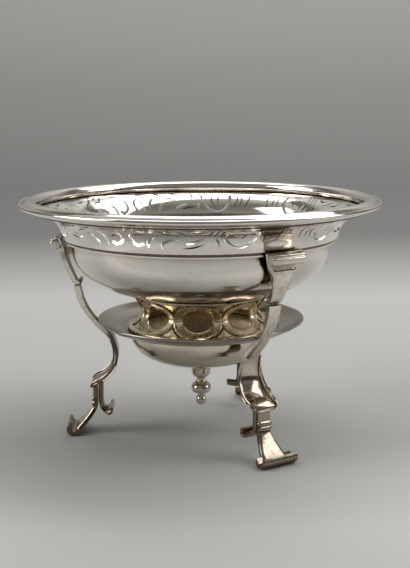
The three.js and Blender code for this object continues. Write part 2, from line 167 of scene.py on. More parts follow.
def turned_rings(bm, line, steps, start=0.0):
    rings = []
    for i in range(steps):
        angle = start + 2 * math.pi * i / steps
        rings.append([bm.verts.new(around(r, z, angle)) for r, z in line])
    return rings


def single_edges(faces):
    """The edges that only one of the faces uses."""
    uses = {}
    for face in faces:
        for a, b in zip(face, face[1:] + face[:1]):
            edge = (min(a, b), max(a, b))
            uses[edge] = uses.get(edge, 0) + 1
    return [edge for edge, count in uses.items() if count == 1]


def to_object(name, bm, materials, sharp_degrees=35):
    bmesh.ops.remove_doubles(bm, verts=bm.verts, dist=WELD_METRES)
    bmesh.ops.recalc_face_normals(bm, faces=bm.faces)
    for edge in bm.edges:
        edge.smooth = len(edge.link_faces) == 2 and edge.calc_face_angle(0) < math.radians(sharp_degrees)
    for face in bm.faces:
        face.smooth = True
    mesh = bpy.data.meshes.new(name)
    bm.to_mesh(mesh)
    bm.free()
    for material in materials:
        mesh.materials.append(material)
    obj = bpy.data.objects.new(name, mesh)
    bpy.context.collection.objects.link(obj)
    return obj


def add_lathe(bm, outline, steps=ROUND_STEPS, inner_from=None):
    """Turns a closed (r, z) outline about the axis. From its point inner_from on, faces get material 1."""
    rings = turned_rings(bm, outline, steps)
    size = len(outline)
    for here, there in zip(rings, rings[1:] + rings[:1]):
        for j in range(size):
            k = (j + 1) % size
            from_axis = outline[j][0] < TINY
            to_axis = outline[k][0] < TINY
            if from_axis and to_axis:
                continue
            if from_axis:
                corners = (here[j], there[k], here[k])
            elif to_axis:
                corners = (here[j], there[j], here[k])
            else:
                corners = (here[j], there[j], there[k], here[k])
            face = bm.faces.new(corners)
            face.material_index = int(inner_from is not None and j >= inner_from)


def lathe(name, outline, materials, steps=ROUND_STEPS, inner_from=None):
    bm = bmesh.new()
    add_lathe(bm, outline, steps, inner_from)
    return to_object(name, bm, materials)


def add_skin(bm, rings, looped=False):
    """Joins rings of points, in millimetres, into a closed skin."""
    made = [[bm.verts.new(Vector(p) * MM) for p in ring] for ring in rings]
    size = len(rings[0])
    spans = len(made) if looped else len(made) - 1
    for i in range(spans):
        here, there = made[i], made[(i + 1) % len(made)]
        for j in range(size):
            k = (j + 1) % size
            bm.faces.new((here[j], here[k], there[k], there[j]))
    if not looped:
        bm.faces.new(made[0][::-1])
        bm.faces.new(made[-1])


def seat(obj, node, body=BODY):
    """Puts a piece on its body in the place of its CAD node."""
    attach(obj, body)
    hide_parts(node)


# Materials

def node_material(name):
    material = bpy.data.materials.new(name)
    material.use_nodes = True
    tree = material.node_tree
    return material, tree, tree.nodes["Principled BSDF"]


def axes(tree, space):
    """The X, Y and Z sockets of the object's own or the world's coordinates."""
    coordinates = tree.nodes.new("ShaderNodeTexCoord")
    parts = tree.nodes.new("ShaderNodeSeparateXYZ")
    tree.links.new(coordinates.outputs[space], parts.inputs["Vector"])
    return parts.outputs


def between(tree, value, low, high):
    """Goes from 0 to 1 as the value goes from low to high."""
    node = tree.nodes.new("ShaderNodeMapRange")
    node.inputs["From Min"].default_value = low
    node.inputs["From Max"].default_value = high
    tree.links.new(value, node.inputs["Value"])
    return node.outputs["Result"]


def noise(tree, scale, detail=4.0, roughness=0.55, distortion=0.0, stretch=(1, 1, 1)):
    coordinates = tree.nodes.new("ShaderNodeTexCoord")
    mapping = tree.nodes.new("ShaderNodeMapping")
    mapping.inputs["Scale"].default_value = stretch
    texture = tree.nodes.new("ShaderNodeTexNoise")
    texture.inputs["Scale"].default_value = scale
    texture.inputs["Detail"].default_value = detail
    texture.inputs["Roughness"].default_value = roughness
    texture.inputs["Distortion"].default_value = distortion
    tree.links.new(coordinates.outputs["Object"], mapping.inputs["Vector"])
    tree.links.new(mapping.outputs["Vector"], texture.inputs["Vector"])
    return texture.outputs["Fac"]


def ramp(tree, value, stops):
    node = tree.nodes.new("ShaderNodeValToRGB")
    elements = node.color_ramp.elements
    while len(elements) < len(stops):
        elements.new(0.5)
    for element, (position, colour) in zip(elements, stops):
        element.position = position
        element.color = (*colour, 1)
    tree.links.new(value, node.inputs["Fac"])
    return node.outputs["Color"]


def grey(value):
    return (value, value, value)


def mix(tree, factor, a, b, blend="MIX"):
    node = tree.nodes.new("ShaderNodeMix")
    node.data_type = "RGBA"
    node.blend_type = blend
    kinds = {"Factor": "VALUE", "A": "RGBA", "B": "RGBA"}
    for name, value in (("Factor", factor), ("A", a), ("B", b)):
        target = next(s for s in node.inputs if s.name == name and s.type == kinds[name])
        if isinstance(value, (float, int)):
            target.default_value = value
        elif isinstance(value, tuple):
            target.default_value = (*value, 1)
        else:
            tree.links.new(value, target)
    return next(s for s in node.outputs if s.type == "RGBA")


def bump(tree, shader, height, strength, distance):
    node = tree.nodes.new("ShaderNodeBump")
    node.inputs["Strength"].default_value = strength
    node.inputs["Distance"].default_value = distance
    tree.links.new(height, node.inputs["Height"])
    tree.links.new(node.outputs["Normal"], shader.inputs["Normal"])


def crevice(tree, reach):
    """White in the open, dark where the surface is closed in within reach, in metres."""
    node = tree.nodes.new("ShaderNodeAmbientOcclusion")
    node.samples = 6
    node.inputs["Distance"].default_value = reach
    return node.outputs["AO"]


def silver(name, base, stain, polish=0.1, worn=0.2, stain_reach=0.004, wobble=0.05, clouding=0.1, grime=0.1,
           darker_below=None):
    """Polished silver with clouded wear, fine scratches, a hand-made wobble and stain in its corners, and,
    if given two heights, painted shade that darkens it towards the bottom.
    """
    material, tree, shader = node_material(name)
    shader.inputs["Metallic"].default_value = 1.0
    cloud = noise(tree, scale=70, detail=5)
    clouded = tuple(b + clouding * (s - b) for b, s in zip(base, stain))
    tint = ramp(tree, cloud, [(0.35, base), (0.72, clouded)])
    spots = noise(tree, scale=380, detail=6, roughness=0.7)
    specks = ramp(tree, spots, [(0.5, grey(0)), (0.66, grey(grime))])
    corner = ramp(tree, crevice(tree, stain_reach), [(0.35, grey(1)), (0.8, grey(0))])
    colour = mix(tree, corner, mix(tree, specks, tint, stain), stain)
    if darker_below:
        # Painted shade: darker towards the bottom, fading out from the first height to the second, in
        # metres
        rise = between(tree, axes(tree, "Object")["Z"], *darker_below)
        low_shade = ramp(tree, rise, [(0.0, grey(0.75)), (1.0, grey(0))])
        colour = mix(tree, low_shade, colour, stain)
    tree.links.new(colour, shader.inputs["Base Color"])
    scratches = noise(tree, scale=900, detail=2, distortion=2.5, stretch=(1, 1, 0.25))
    wear = mix(tree, 0.5, cloud, scratches)
    rough = ramp(tree, wear, [(0.35, grey(polish)), (0.7, grey(worn))])
    tree.links.new(rough, shader.inputs["Roughness"])
    bump(tree, shader, noise(tree, scale=38, detail=2), strength=wobble, distance=0.002)
    return material


def tarnished_silver():
    """Silver coloured by the heat: olive and straw tones with brown soot in the hollows."""
    material, tree, shader = node_material("tarnished_silver")
    shader.inputs["Metallic"].default_value = 1.0
    tint = ramp(tree, noise(tree, scale=120, detail=5), [
        (0.3, (0.58, 0.46, 0.28)),
        (0.5, (0.82, 0.71, 0.50)),
        (0.7, (0.95, 0.86, 0.69)),
    ])
    soot = ramp(tree, crevice(tree, 0.006), [(0.3, grey(1)), (0.85, grey(0))])
    tree.links.new(mix(tree, soot, tint, (0.14, 0.09, 0.05)), shader.inputs["Base Color"])
    rough = ramp(tree, noise(tree, scale=400), [(0.35, grey(0.16)), (0.7, grey(0.34))])
    tree.links.new(rough, shader.inputs["Roughness"])
    bump(tree, shader, noise(tree, scale=500), strength=0.12, distance=0.0006)
    return material


def sooted_metal(name, light, dark, metallic=0.25, rough=(0.5, 0.8)):
    """The fire's side of the metal: matt ash and scorched brown in patches."""
    material, tree, shader = node_material(name)
    shader.inputs["Metallic"].default_value = metallic
    patches = noise(tree, scale=180, detail=7, roughness=0.65)
    tree.links.new(ramp(tree, patches, [(0.36, dark), (0.62, light)]), shader.inputs["Base Color"])
    roughness = ramp(tree, noise(tree, scale=600), [(0.3, grey(rough[0])), (0.7, grey(rough[1]))])
    tree.links.new(roughness, shader.inputs["Roughness"])
    bump(tree, shader, noise(tree, scale=900, detail=6), strength=0.5, distance=0.0004)
    return material


def backdrop_material():
    """A grey paper sweep with painted light and shade: pale under and behind the object but with a painted
    shadow close around it, darker in the turn, paler again up the wall.
    """
    material, tree, shader = node_material("backdrop_paper_painted_light")
    place = axes(tree, "Object")
    # Painted light and shade along the floor: a painted shadow close to the object, near Y = 0, and a
    # fall-off into the turn
    floor = ramp(tree, between(tree, place["Y"], -0.2, 0.8), [
        (0.0, grey(0.50)),
        (0.06, grey(0.60)),
        (0.12, grey(0.54)),
        (0.18, grey(0.43)),
        (0.26, grey(0.44)),
        (0.38, grey(0.48)),
        (0.58, grey(0.52)),
        (0.82, grey(0.33)),
        (1.0, grey(0.21)),
    ])
    # Painted light up the wall: dark at its foot, pale up high
    painted_wall_light = ramp(tree, between(tree, place["Z"], 0.05, 0.65), [
        (0.0, grey(0.20)),
        (0.25, grey(0.31)),
        (0.5, grey(0.47)),
        (1.0, grey(0.68)),
    ])
    painted_tone = mix(tree, between(tree, place["Z"], 0.02, 0.06), floor, painted_wall_light)
    grain = ramp(tree, noise(tree, scale=900), [(0.3, grey(0.97)), (0.7, grey(1.0))])
    paper = mix(tree, 1.0, painted_tone, grain, "MULTIPLY")
    tree.links.new(mix(tree, 1.0, paper, (1.0, 0.99, 0.965), "MULTIPLY"), shader.inputs["Base Color"])
    shader.inputs["Roughness"].default_value = 0.8
    return material


BROWN_STAIN = (0.33, 0.25, 0.15)
POLISHED = silver("polished_silver", (0.92, 0.88, 0.825), BROWN_STAIN, polish=0.06, worn=0.15)
ENGRAVING = silver("stained_engraving", (0.15, 0.11, 0.075), (0.10, 0.07, 0.04), polish=0.35, worn=0.5)
CUT_EDGES = silver("cut_edges", (0.92, 0.88, 0.80), BROWN_STAIN, polish=0.2, worn=0.3, stain_reach=0.0006)
WORN = silver("worn_silver", (0.87, 0.825, 0.76), BROWN_STAIN, polish=0.1, worn=0.22, stain_reach=0.006)
# A darkened copy of the silver, for the bowl's shade over the dish: painted shade
DISH_SHADED_SILVER = silver("dish_silver_painted_shade", (0.40, 0.37, 0.315), BROWN_STAIN, polish=0.14, worn=0.26,
                     stain_reach=0.006)
# Its outside darkens towards the bottom: painted shade
ASH_SILVER = silver("ash_bowl_silver", (0.90, 0.835, 0.70), BROWN_STAIN, stain_reach=0.008, clouding=0.3,
                    darker_below=(0.040, 0.052))
# It darkens towards the feet: painted shade
LEG_SILVER = silver("leg_silver", (0.86, 0.80, 0.715), (0.26, 0.18, 0.10), polish=0.07, worn=0.2,
                    stain_reach=0.007, wobble=0.12, clouding=0.3, grime=0.4, darker_below=(0.022, 0.064))
# A dark brown copy of the legs' silver for faces turned inwards or aside: painted shade
LEG_PAINTED_SHADE = silver("leg_painted_shade", (0.24, 0.18, 0.12), (0.08, 0.055, 0.03), polish=0.12, worn=0.32,
                   wobble=0.12)
FOOT_SILVER = silver("foot_silver", (0.46, 0.40, 0.32), (0.15, 0.095, 0.055), polish=0.08, worn=0.24,
                     stain_reach=0.007, wobble=0.15, clouding=0.35, grime=0.7)
FINIAL_SILVER = silver("finial_silver", (0.84, 0.76, 0.63), (0.18, 0.12, 0.07), polish=0.06, worn=0.14,
                       stain_reach=0.008, wobble=0.1, clouding=0.3, grime=0.4)
TARNISHED = tarnished_silver()
SOOT = sooted_metal("sooted_metal", (0.40, 0.33, 0.25), (0.11, 0.085, 0.06))
ASH = sooted_metal("ash_stain", (0.95, 0.78, 0.52), (0.66, 0.50, 0.30), metallic=0.75, rough=(0.3, 0.5))


# Rim moulding: the bead, a groove, the broad moulding and the flat crest

def rim_moulding():
    outer_r = RIM_HIGH[0]
    crest_z = RIM_HIGH[2]
    bead_r = 1.2
    outline = [
        (91.95, 128.3),
        *catmull_rom([(92.6, 128.4), (95.2, 129.2), (97.4, 130.6)], 5),
        *arc((outer_r - bead_r, crest_z - 2.8), bead_r, -100, 140, 14),
        (97.7, 132.2),
        *catmull_rom([(97.3, 132.4), (96.3, 133.4), (95.0, 134.2), (93.9, crest_z)], 6),
        (92.9, crest_z),
        *catmull_rom([(92.5, 134.4), (91.0, 133.7), (90.0, 132.4), (89.6, 130.8), (89.7, 129.1)], 5)[1:],
        (91.95, 129.4),
    ]
    seat(lathe("rim_moulding_fine", outline, [POLISHED], steps=360), "rim_moulding")


# Pierced border: one 120 degree panel of the flare, cut and engraved flat, then bent round and repeated

# The middle of the flare's wall, as a quadratic curve's three control points
FLARE = [(76.0, 113.6), (77.2, 125.0), (90.6, 128.0)]
FLARE_SAMPLES = 400
BORDER_WALL = 1.4
# Lengths on the flattened panel are true at this radius
FRIEZE_RADIUS = 81
PANEL_COUNT = 3
PANEL_MIDDLE = math.radians(-26.4)
HALF_PANEL = math.pi / PANEL_COUNT
PANEL_COLUMNS = 120
PANEL_ROWS = 17
# The grid's points keep this far from the drawn lines
LINE_CLEARANCE = 0.45
ENGRAVING_DEPTH = 0.4


def bezier(t):
    (r0, z0), (r1, z1), (r2, z2) = FLARE
    a, b, c = (1 - t) ** 2, 2 * t * (1 - t), t * t
    return a * r0 + b * r1 + c * r2, a * z0 + b * z1 + c * z2


FLARE_POINTS = [bezier(i / FLARE_SAMPLES) for i in range(FLARE_SAMPLES + 1)]
FLARE_REACH = [0.0]
for p, q in zip(FLARE_POINTS, FLARE_POINTS[1:]):
    FLARE_REACH.append(FLARE_REACH[-1] + math.dist(p, q))
FLARE_LENGTH = FLARE_REACH[-1]


def on_flare(height, out):
    """(r, z) at a height along the flare, moved off the middle of its wall by out."""
    height = min(max(height, 0), FLARE_LENGTH - TINY)
    i = bisect.bisect_right(FLARE_REACH, height) - 1
    (r0, z0), (r1, z1) = FLARE_POINTS[i], FLARE_POINTS[i + 1]
    length = math.dist((r0, z0), (r1, z1))
    t = (height - FLARE_REACH[i]) / (FLARE_REACH[i + 1] - FLARE_REACH[i])
    r, z = r0 + t * (r1 - r0), z0 + t * (z1 - z0)
    return r + out * (z1 - z0) / length, z - out * (r1 - r0) / length


# Cuts and engraved lines of a panel: (degrees from its middle, height along the flare, half width)
CUTS = [
    [(-36.0, 13.4, 0), (-35.0, 10.4, 0.75), (-36.4, 6.0, 0.85), (-39.6, 3.5, 0.65), (-43.0, 3.4, 0.65),
     (-45.8, 6.2, 0.95), (-46.9, 10.6, 1.2), (-46.2, 15.2, 0.9)],
    [(-31.8, 9.8, 0), (-32.5, 7.0, 0.95), (-33.1, 4.7, 0)],
    [(-21.4, 5.2, 0), (-24.4, 6.6, 1.1), (-28.2, 8.8, 0)],
    [(-18.4, 10.1, 0.1), (-16.7, 9.3, 0.6), (-15.5, 8.0, 0.85), (-14.4, 6.0, 0.9), (-13.3, 3.4, 0.2)],
    [(-12.7, 13.3, 0.1), (-11.1, 12.1, 0.75), (-10.1, 10.0, 0.95), (-9.5, 7.4, 1.0), (-9.4, 3.9, 0.5)],
    [(-4.7, 13.6, 0.2), (-2.7, 12.0, 0.75), (-2.0, 8.8, 0.95), (-3.3, 5.4, 0.95), (-5.3, 4.4, 1.05),
     (-6.9, 6.0, 1.2)],
    [(3.9, 14.4, 0.25), (1.9, 11.2, 0.8), (1.6, 7.8, 0.95), (2.6, 5.2, 0.95), (4.4, 4.3, 0.95),
     (5.9, 5.8, 1.2)],
    [(11.6, 11.0, 0), (9.8, 9.4, 0.65), (8.3, 7.2, 0.95), (7.7, 5.2, 0.95), (7.5, 3.3, 0.7)],
    [(20.4, 8.8, 0), (17.2, 8.2, 0.8), (14.7, 6.9, 1.3), (13.0, 5.0, 0.85), (12.7, 2.8, 0.25)],
    [(21.0, 5.4, 0), (23.8, 6.6, 1.0), (26.4, 8.2, 0.85), (29.0, 10.2, 0)],
    [(32.0, 9.8, 0), (32.8, 7.0, 1.1), (33.6, 4.2, 0)],
    [(36.2, 13.6, 0), (35.2, 10.6, 0.75), (36.3, 6.9, 0.85), (38.6, 4.3, 0.65), (41.2, 3.4, 0.6),
     (43.8, 4.7, 0.85), (45.8, 7.8, 1.15), (46.7, 11.3, 1.25), (46.0, 15.4, 0.9)],
]
ENGRAVED = [
    [(3.6, 16.6, 0), (6.3, 17.5, 0.67), (9.2, 17.0, 0)],
    [(4.4, 20.6, 0), (8.4, 20.0, 0.48), (11.0, 18.6, 0)],
    [(11.9, 19.4, 0), (13.8, 15.6, 0.67), (16.4, 11.2, 0)],
    [(18.3, 19.4, 0), (20.9, 13.8, 0.72), (24.3, 11.6, 0)],
    [(13.4, 13.0, 0), (16.0, 13.4, 0.56), (19.4, 11.4, 0)],
    [(22.4, 16.4, 0), (26.2, 14.9, 0.67), (29.5, 18.0, 0)],
    [(29.4, 11.0, 0), (30.3, 14.8, 0.48), (31.0, 20.4, 0)],
    [(31.2, 11.2, 0), (32.2, 14.6, 0.51), (32.8, 19.8, 0)],
    [(33.2, 11.0, 0), (34.2, 14.4, 0.51), (35.0, 19.2, 0)],
    [(37.6, 11.0, 0), (38.6, 13.2, 0.54), (40.4, 11.4, 0)],
    [(38.6, 18.6, 0), (41.6, 16.4, 0.56), (44.0, 17.6, 0)],
    [(19.6, 3.2, 0), (24.4, 3.8, 0.51), (29.0, 6.2, 0)],
    [(40.4, 8.6, 0), (42.0, 10.6, 0.54), (42.6, 13.6, 0)],
    [(48.8, 17.4, 0), (50.2, 11.4, 0.58), (49.0, 5.6, 0)],
    [(51.2, 15.4, 0), (52.4, 10.8, 0.54), (51.6, 6.6, 0)],
    [(54.2, 17.8, 0), (55.6, 12.4, 0.58), (54.4, 6.2, 0)],
    [(-6.8, 8.8, 0), (-5.4, 10.2, 0.58), (-4.2, 10.4, 0)],
    [(-3.0, 16.0, 0), (-6.4, 17.4, 0.64), (-9.4, 16.4, 0)],
    [(-11.9, 19.2, 0), (-14.6, 16.2, 0.67), (-18.8, 14.6, 0)],
    [(-16.4, 12.4, 0), (-19.4, 12.8, 0.58), (-22.4, 11.0, 0)],
    [(-18.6, 19.4, 0), (-22.0, 16.0, 0.67), (-26.4, 14.6, 0)],
    [(-24.6, 5.0, 0), (-28.2, 5.8, 0.64), (-31.0, 6.6, 0)],
    [(-32.4, 17.0, 0), (-33.8, 13.6, 0.64), (-34.0, 11.2, 0)],
    [(-28.6, 18.0, 0), (-29.8, 14.4, 0.58), (-29.2, 11.4, 0)],
    [(-38.6, 15.6, 0), (-38.4, 10.4, 0.56), (-40.4, 6.8, 0)],
    [(-41.3, 17.0, 0), (-41.3, 12.4, 0.51), (-41.4, 8.4, 0)],
    [(-48.8, 17.4, 0), (-50.2, 11.4, 0.58), (-49.0, 5.6, 0)],
    [(-51.2, 15.4, 0), (-52.4, 10.8, 0.54), (-51.6, 6.6, 0)],
    [(-54.2, 17.8, 0), (-55.6, 12.4, 0.58), (-54.4, 6.2, 0)],
    [(-57.4, 19.4, 0), (-54.6, 20.2, 0.55), (-51.4, 19.2, 0)],
    [(-48.6, 20.2, 0), (-45.8, 19.4, 0.6), (-43.2, 17.8, 0)],
    [(-38.6, 20.0, 0), (-36.0, 18.6, 0.6), (-35.0, 16.2, 0)],
    [(-26.4, 17.8, 0), (-24.8, 19.2, 0.55), (-22.2, 20.2, 0)],
    [(-15.4, 20.0, 0), (-13.2, 20.6, 0.5), (-10.2, 20.2, 0)],
    [(-8.4, 19.4, 0), (-5.0, 20.4, 0.6), (-1.2, 19.2, 0)],
    [(-1.0, 17.2, 0), (0.6, 15.8, 0.55), (2.0, 17.6, 0)],
    [(14.6, 19.8, 0), (16.0, 17.6, 0.6), (16.8, 14.8, 0)],
    [(22.0, 20.0, 0), (24.8, 18.8, 0.6), (28.0, 20.2, 0)],
    [(36.8, 19.8, 0), (39.8, 20.4, 0.55), (43.4, 19.4, 0)],
    [(45.8, 19.6, 0), (48.4, 19.2, 0.5), (51.0, 20.0, 0)],
    [(53.4, 19.8, 0), (56.2, 20.4, 0.55), (58.4, 19.4, 0)],
]


def stroke_lines(stroke, steps):
    """The right side, middle and left side of a tapered stroke on the flattened flare."""
    per_degree = math.radians(1) * FRIEZE_RADIUS
    path = catmull_rom([(d * per_degree, h, w) for d, h, w in stroke], steps)
    right, middle, left = [], [], []
    for i, (x, y, width) in enumerate(path):
        along_x, along_y = direction(path, i)
        reach_x, reach_y = -along_y * max(width, 0), along_x * max(width, 0)
        right.append((x - reach_x, y - reach_y))
        middle.append((x, y))
        left.append((x + reach_x, y + reach_y))
    return right, middle, left


def inside(point, polygon):
    x, y = point
    hit = False
    for (x0, y0), (x1, y1) in zip(polygon, polygon[1:] + polygon[:1]):
        if (y0 > y) != (y1 > y) and x < (x1 - x0) * (y - y0) / (y1 - y0) + x0:
            hit = not hit
    return hit


def frieze_plan():
    """The flattened panel as triangles: points, their depths, faces, and which faces are engraved."""
    half = HALF_PANEL * FRIEZE_RADIUS
    points, edges, depths = [], [], []
    cuts, grooves = [], []

    def add_line(line, closed, depth=0.0):
        first = len(points)
        points.extend(line)
        depths.extend([depth] * len(line))
        edges.extend((first + i, first + i + 1) for i in range(len(line) - 1))
        if closed:
            edges.append((first + len(line) - 1, first))

    for stroke in CUTS:
        right, _, left = stroke_lines(stroke, steps=7)
        outline = right + left[::-1]
        # A stroke that starts without width starts at one point, not at two
        if stroke[0][2] == 0:
            outline = outline[:-1]
        cuts.append(outline)
        add_line(outline, True)
    for stroke in ENGRAVED:
        right, middle, left = stroke_lines(stroke, steps=6)
        outline = right + left[-2:0:-1]
        grooves.append(outline)
        add_line(outline, True)
        add_line(middle[1:-1], False, ENGRAVING_DEPTH)

    drawn = list(points)
    spans = [(min(x for x, _ in o), max(x for x, _ in o), o) for o in cuts + grooves]

    def marks_at(x, y):
        return [low < x < high and inside((x, y), outline) for low, high, outline in spans]

    def crowded(x, y):
        return any(abs(x - a) < LINE_CLEARANCE and abs(y - b) < LINE_CLEARANCE for a, b in drawn)

    for i in range(PANEL_COLUMNS + 1):
        for j in range(PANEL_ROWS + 1):
            x = -half + 2 * half * i / PANEL_COLUMNS
            y = FLARE_LENGTH * j / PANEL_ROWS
            on_edge = i in (0, PANEL_COLUMNS) or j in (0, PANEL_ROWS)
            if on_edge or not (any(marks_at(x, y)) or crowded(x, y)):
                points.append((x, y))
                depths.append(0.0)
    result = delaunay_2d_cdt([Vector(p) for p in points], edges, [], 0, CUT_PRECISION)
    corners, _, triangles, sources = result[:4]
    corner_depths = [max((depths[k] for k in source), default=0.0) for source in sources]
    faces, engraved = [], []
    for triangle in triangles:
        marks = marks_at(sum(corners[v].x for v in triangle) / 3, sum(corners[v].y for v in triangle) / 3)
        if not any(marks[:len(cuts)]):
            faces.append(tuple(triangle))
            engraved.append(any(marks))
    return [(p.x, p.y) for p in corners], corner_depths, faces, engraved


def add_frieze(bm):
    """The three cut panels. Engraved faces get material 1, and the walls of the cuts material 2."""
    points, depths, faces, engraved = frieze_plan()

    def on_seam(v):
        return abs(abs(points[v][0]) - HALF_PANEL * FRIEZE_RADIUS) < ON_EDGE

    def on_foot(v):
        return points[v][1] < ON_EDGE

    def on_lip(v):
        return points[v][1] > FLARE_LENGTH - ON_EDGE

    cut_edges = [
        (a, b) for a, b in single_edges(faces)
        if not any(there(a) and there(b) for there in (on_seam, on_foot, on_lip))
    ]
    for panel in range(PANEL_COUNT):
        middle = PANEL_MIDDLE + 2 * HALF_PANEL * panel
        layers = []
        for side in (1, -1):
            layer = []
            for (x, y), depth in zip(points, depths):
                r, z = on_flare(y, side * (BORDER_WALL / 2 - depth))
                layer.append(bm.verts.new(around(r, z, middle + x / FRIEZE_RADIUS)))
            layers.append(layer)
        outer, inner = layers
        for face, stained in zip(faces, engraved):
            bm.faces.new([outer[v] for v in face]).material_index = int(stained)
            bm.faces.new([inner[v] for v in face[::-1]]).material_index = int(stained)
        for a, b in cut_edges:
            bm.faces.new((outer[a], outer[b], inner[b], inner[a])).material_index = 2


def add_shoulder_and_lip(bm):
    """What closes the border below and above its frieze: the shoulder with its seat, and the lip."""
    seat_r = 71.9
    half_wall = BORDER_WALL / 2
    shoulder = [
        on_flare(0, -half_wall),
        (74.6, 113.45),
        (seat_r, 113.1),
        (seat_r, 110.8),
        *catmull_rom([(74.4, 110.8), (75.2, 111.1), (75.4, 111.8), (75.3, 112.6)], 4),
        (75.0, 112.9),
        (75.9, 113.25),
        on_flare(0, half_wall),
    ]
    lip_z = on_flare(FLARE_LENGTH, 0)[1]
    lip = [
        on_flare(FLARE_LENGTH, half_wall),
        (91.55, lip_z - 0.4),
        (91.4, lip_z + 0.85),
        on_flare(FLARE_LENGTH, -half_wall),
    ]
    for line in (shoulder, lip):
        rings = turned_rings(bm, line, PANEL_COLUMNS * PANEL_COUNT, PANEL_MIDDLE - HALF_PANEL)
        for here, there in zip(rings, rings[1:] + rings[:1]):
            for j in range(len(line) - 1):
                bm.faces.new((here[j], there[j], there[j + 1], here[j + 1]))


def pierced_border():
    bm = bmesh.new()
    add_frieze(bm)
    add_shoulder_and_lip(bm)
    obj = to_object("pierced_border_fine", bm, [POLISHED, ENGRAVING, CUT_EDGES], sharp_degrees=28)
    seat(obj, "pierced_border")


# Bowl pan

def bowl_pan():
    bottom_z = BOWL_LOW[2]
    belly_r = BOWL_HIGH[0]
    outer = [(30.0, bottom_z), *catmull_rom([
        (38.0, bottom_z + 0.05),
        (50.5, bottom_z + 2.8),
        (58.6, bottom_z + 6.6),
        (65.0, bottom_z + 11.4),
        (69.2, bottom_z + 16.8),
        (71.1, bottom_z + 22.2),
        (belly_r, bottom_z + 27.0),
        (belly_r, BOWL_HIGH[2] - 0.1),
    ], 8)]
    seat(lathe("bowl_pan_fine", sheet(outer, thickness=1.3), [WORN]), "bowl_pan")


# Grate: a loose pierced plate with a turned edge

HOLE_RADIUS = 3.3
# Each circle of holes: its radius and how many there are on it
HOLE_CIRCLES = ((0, 1), (12.5, 6), (25, 12))


def grate():
    radius = GRATE_HIGH[0]
    chamfer = 0.4
    low, high = GRATE_LOW[2], GRATE_HIGH[2]
    points, edges, holes = [], [], []

    def ring(x, y, r, steps):
        first = len(points)
        for i in range(steps):
            angle = 2 * math.pi * i / steps
            points.append(Vector((x + r * math.cos(angle), y + r * math.sin(angle))))
            edges.append((first + i, first + (i + 1) % steps))

    ring(0, 0, radius - chamfer, 144)
    for circle, number in HOLE_CIRCLES:
        for i in range(number):
            angle = 2 * math.pi * i / number
            hole = (circle * math.cos(angle), circle * math.sin(angle))
            holes.append(Vector(hole))
            ring(*hole, HOLE_RADIUS, 32)
    flat, _, triangles = delaunay_2d_cdt(points, edges, [], 1, CUT_PRECISION)[:3]
    # A triangle whose centre is nearer than this to the middle of a hole lies in the hole
    hole_reach = HOLE_RADIUS - 0.1
    faces = []
    for triangle in triangles:
        centre = sum((flat[v] for v in triangle), Vector((0, 0))) / len(triangle)
        if all((centre - hole).length > hole_reach for hole in holes):
            faces.append(tuple(triangle))

    bm = bmesh.new()
    top = [bm.verts.new((p.x * MM, p.y * MM, high * MM)) for p in flat]
    under = [bm.verts.new((p.x * MM, p.y * MM, low * MM)) for p in flat]
    for face in faces:
        bm.faces.new([top[v] for v in face])
        bm.faces.new([under[v] for v in face[::-1]])
    for a, b in single_edges(faces):
        if flat[a].length < radius - 2 * chamfer:
            bm.faces.new((top[a], top[b], under[b], under[a]))
            continue
        rim = []
        for v in (a, b):
            x, y = flat[v].normalized() * radius
            rim.append(bm.verts.new((x * MM, y * MM, (low + high) / 2 * MM)))
        bm.faces.new((top[a], top[b], rim[1], rim[0]))
        bm.faces.new((rim[0], rim[1], under[b], under[a]))
    seat(to_object("grate_fine", bm, [SOOT]), "grate", LOOSE_BODY)


# Gallery: eight oval rings in relief on a waisted surface, with curved spandrels between them

RING_COUNT = 8
FIRST_RING_DEGREES = -2.5
RING_CENTRE_Z = 70.7
RING_OUTER = (13.15, 9.0)
RING_HOLE = (8.4, 5.8)
RING_BACK = -1.9
WAIST_AXIS_RADIUS = 32.0
WAIST_ROUNDING = 1.3
WAIST_RADIUS = WAIST_AXIS_RADIUS + WAIST_ROUNDING
WAIST_Z = 70.9
SLOPE_ABOVE = 0.62
SLOPE_BELOW = 0.78


def on_waist(angle, z, out):
    slope = SLOPE_ABOVE if z > WAIST_Z else SLOPE_BELOW
    r = WAIST_AXIS_RADIUS + math.hypot(WAIST_ROUNDING, slope * (z - WAIST_Z)) + out
    return (r * math.sin(angle), -r * math.cos(angle), z)


def add_oval(bm, azimuth):
    """One ring, with a proud outer rim and a face that slopes in to its hole."""
    steps = 96
    # From the hole (0) to the outer edge (1), with heights off the waist's surface
    section = [
        (0.0, RING_BACK), (1.0, RING_BACK), (1.0, 0.1), (0.985, 0.32), (0.93, 0.46), (0.86, 0.4),
        (0.81, 0.16), (0.78, -0.06), (0.6, -0.2), (0.35, -0.5), (0.12, -0.85), (0.03, -1.1), (0.0, -1.3),
    ]
    rings = []
    for i in range(steps):
        angle = 2 * math.pi * i / steps
        ring = []
        for across, out in section:
            half_width = RING_HOLE[0] + (RING_OUTER[0] - RING_HOLE[0]) * across
            half_height = RING_HOLE[1] + (RING_OUTER[1] - RING_HOLE[1]) * across
            along = half_width * math.cos(angle)
            z = RING_CENTRE_Z + half_height * math.sin(angle)
            ring.append(on_waist(azimuth + along / WAIST_RADIUS, z, out))
        rings.append(ring)
    add_skin(bm, rings, looped=True)


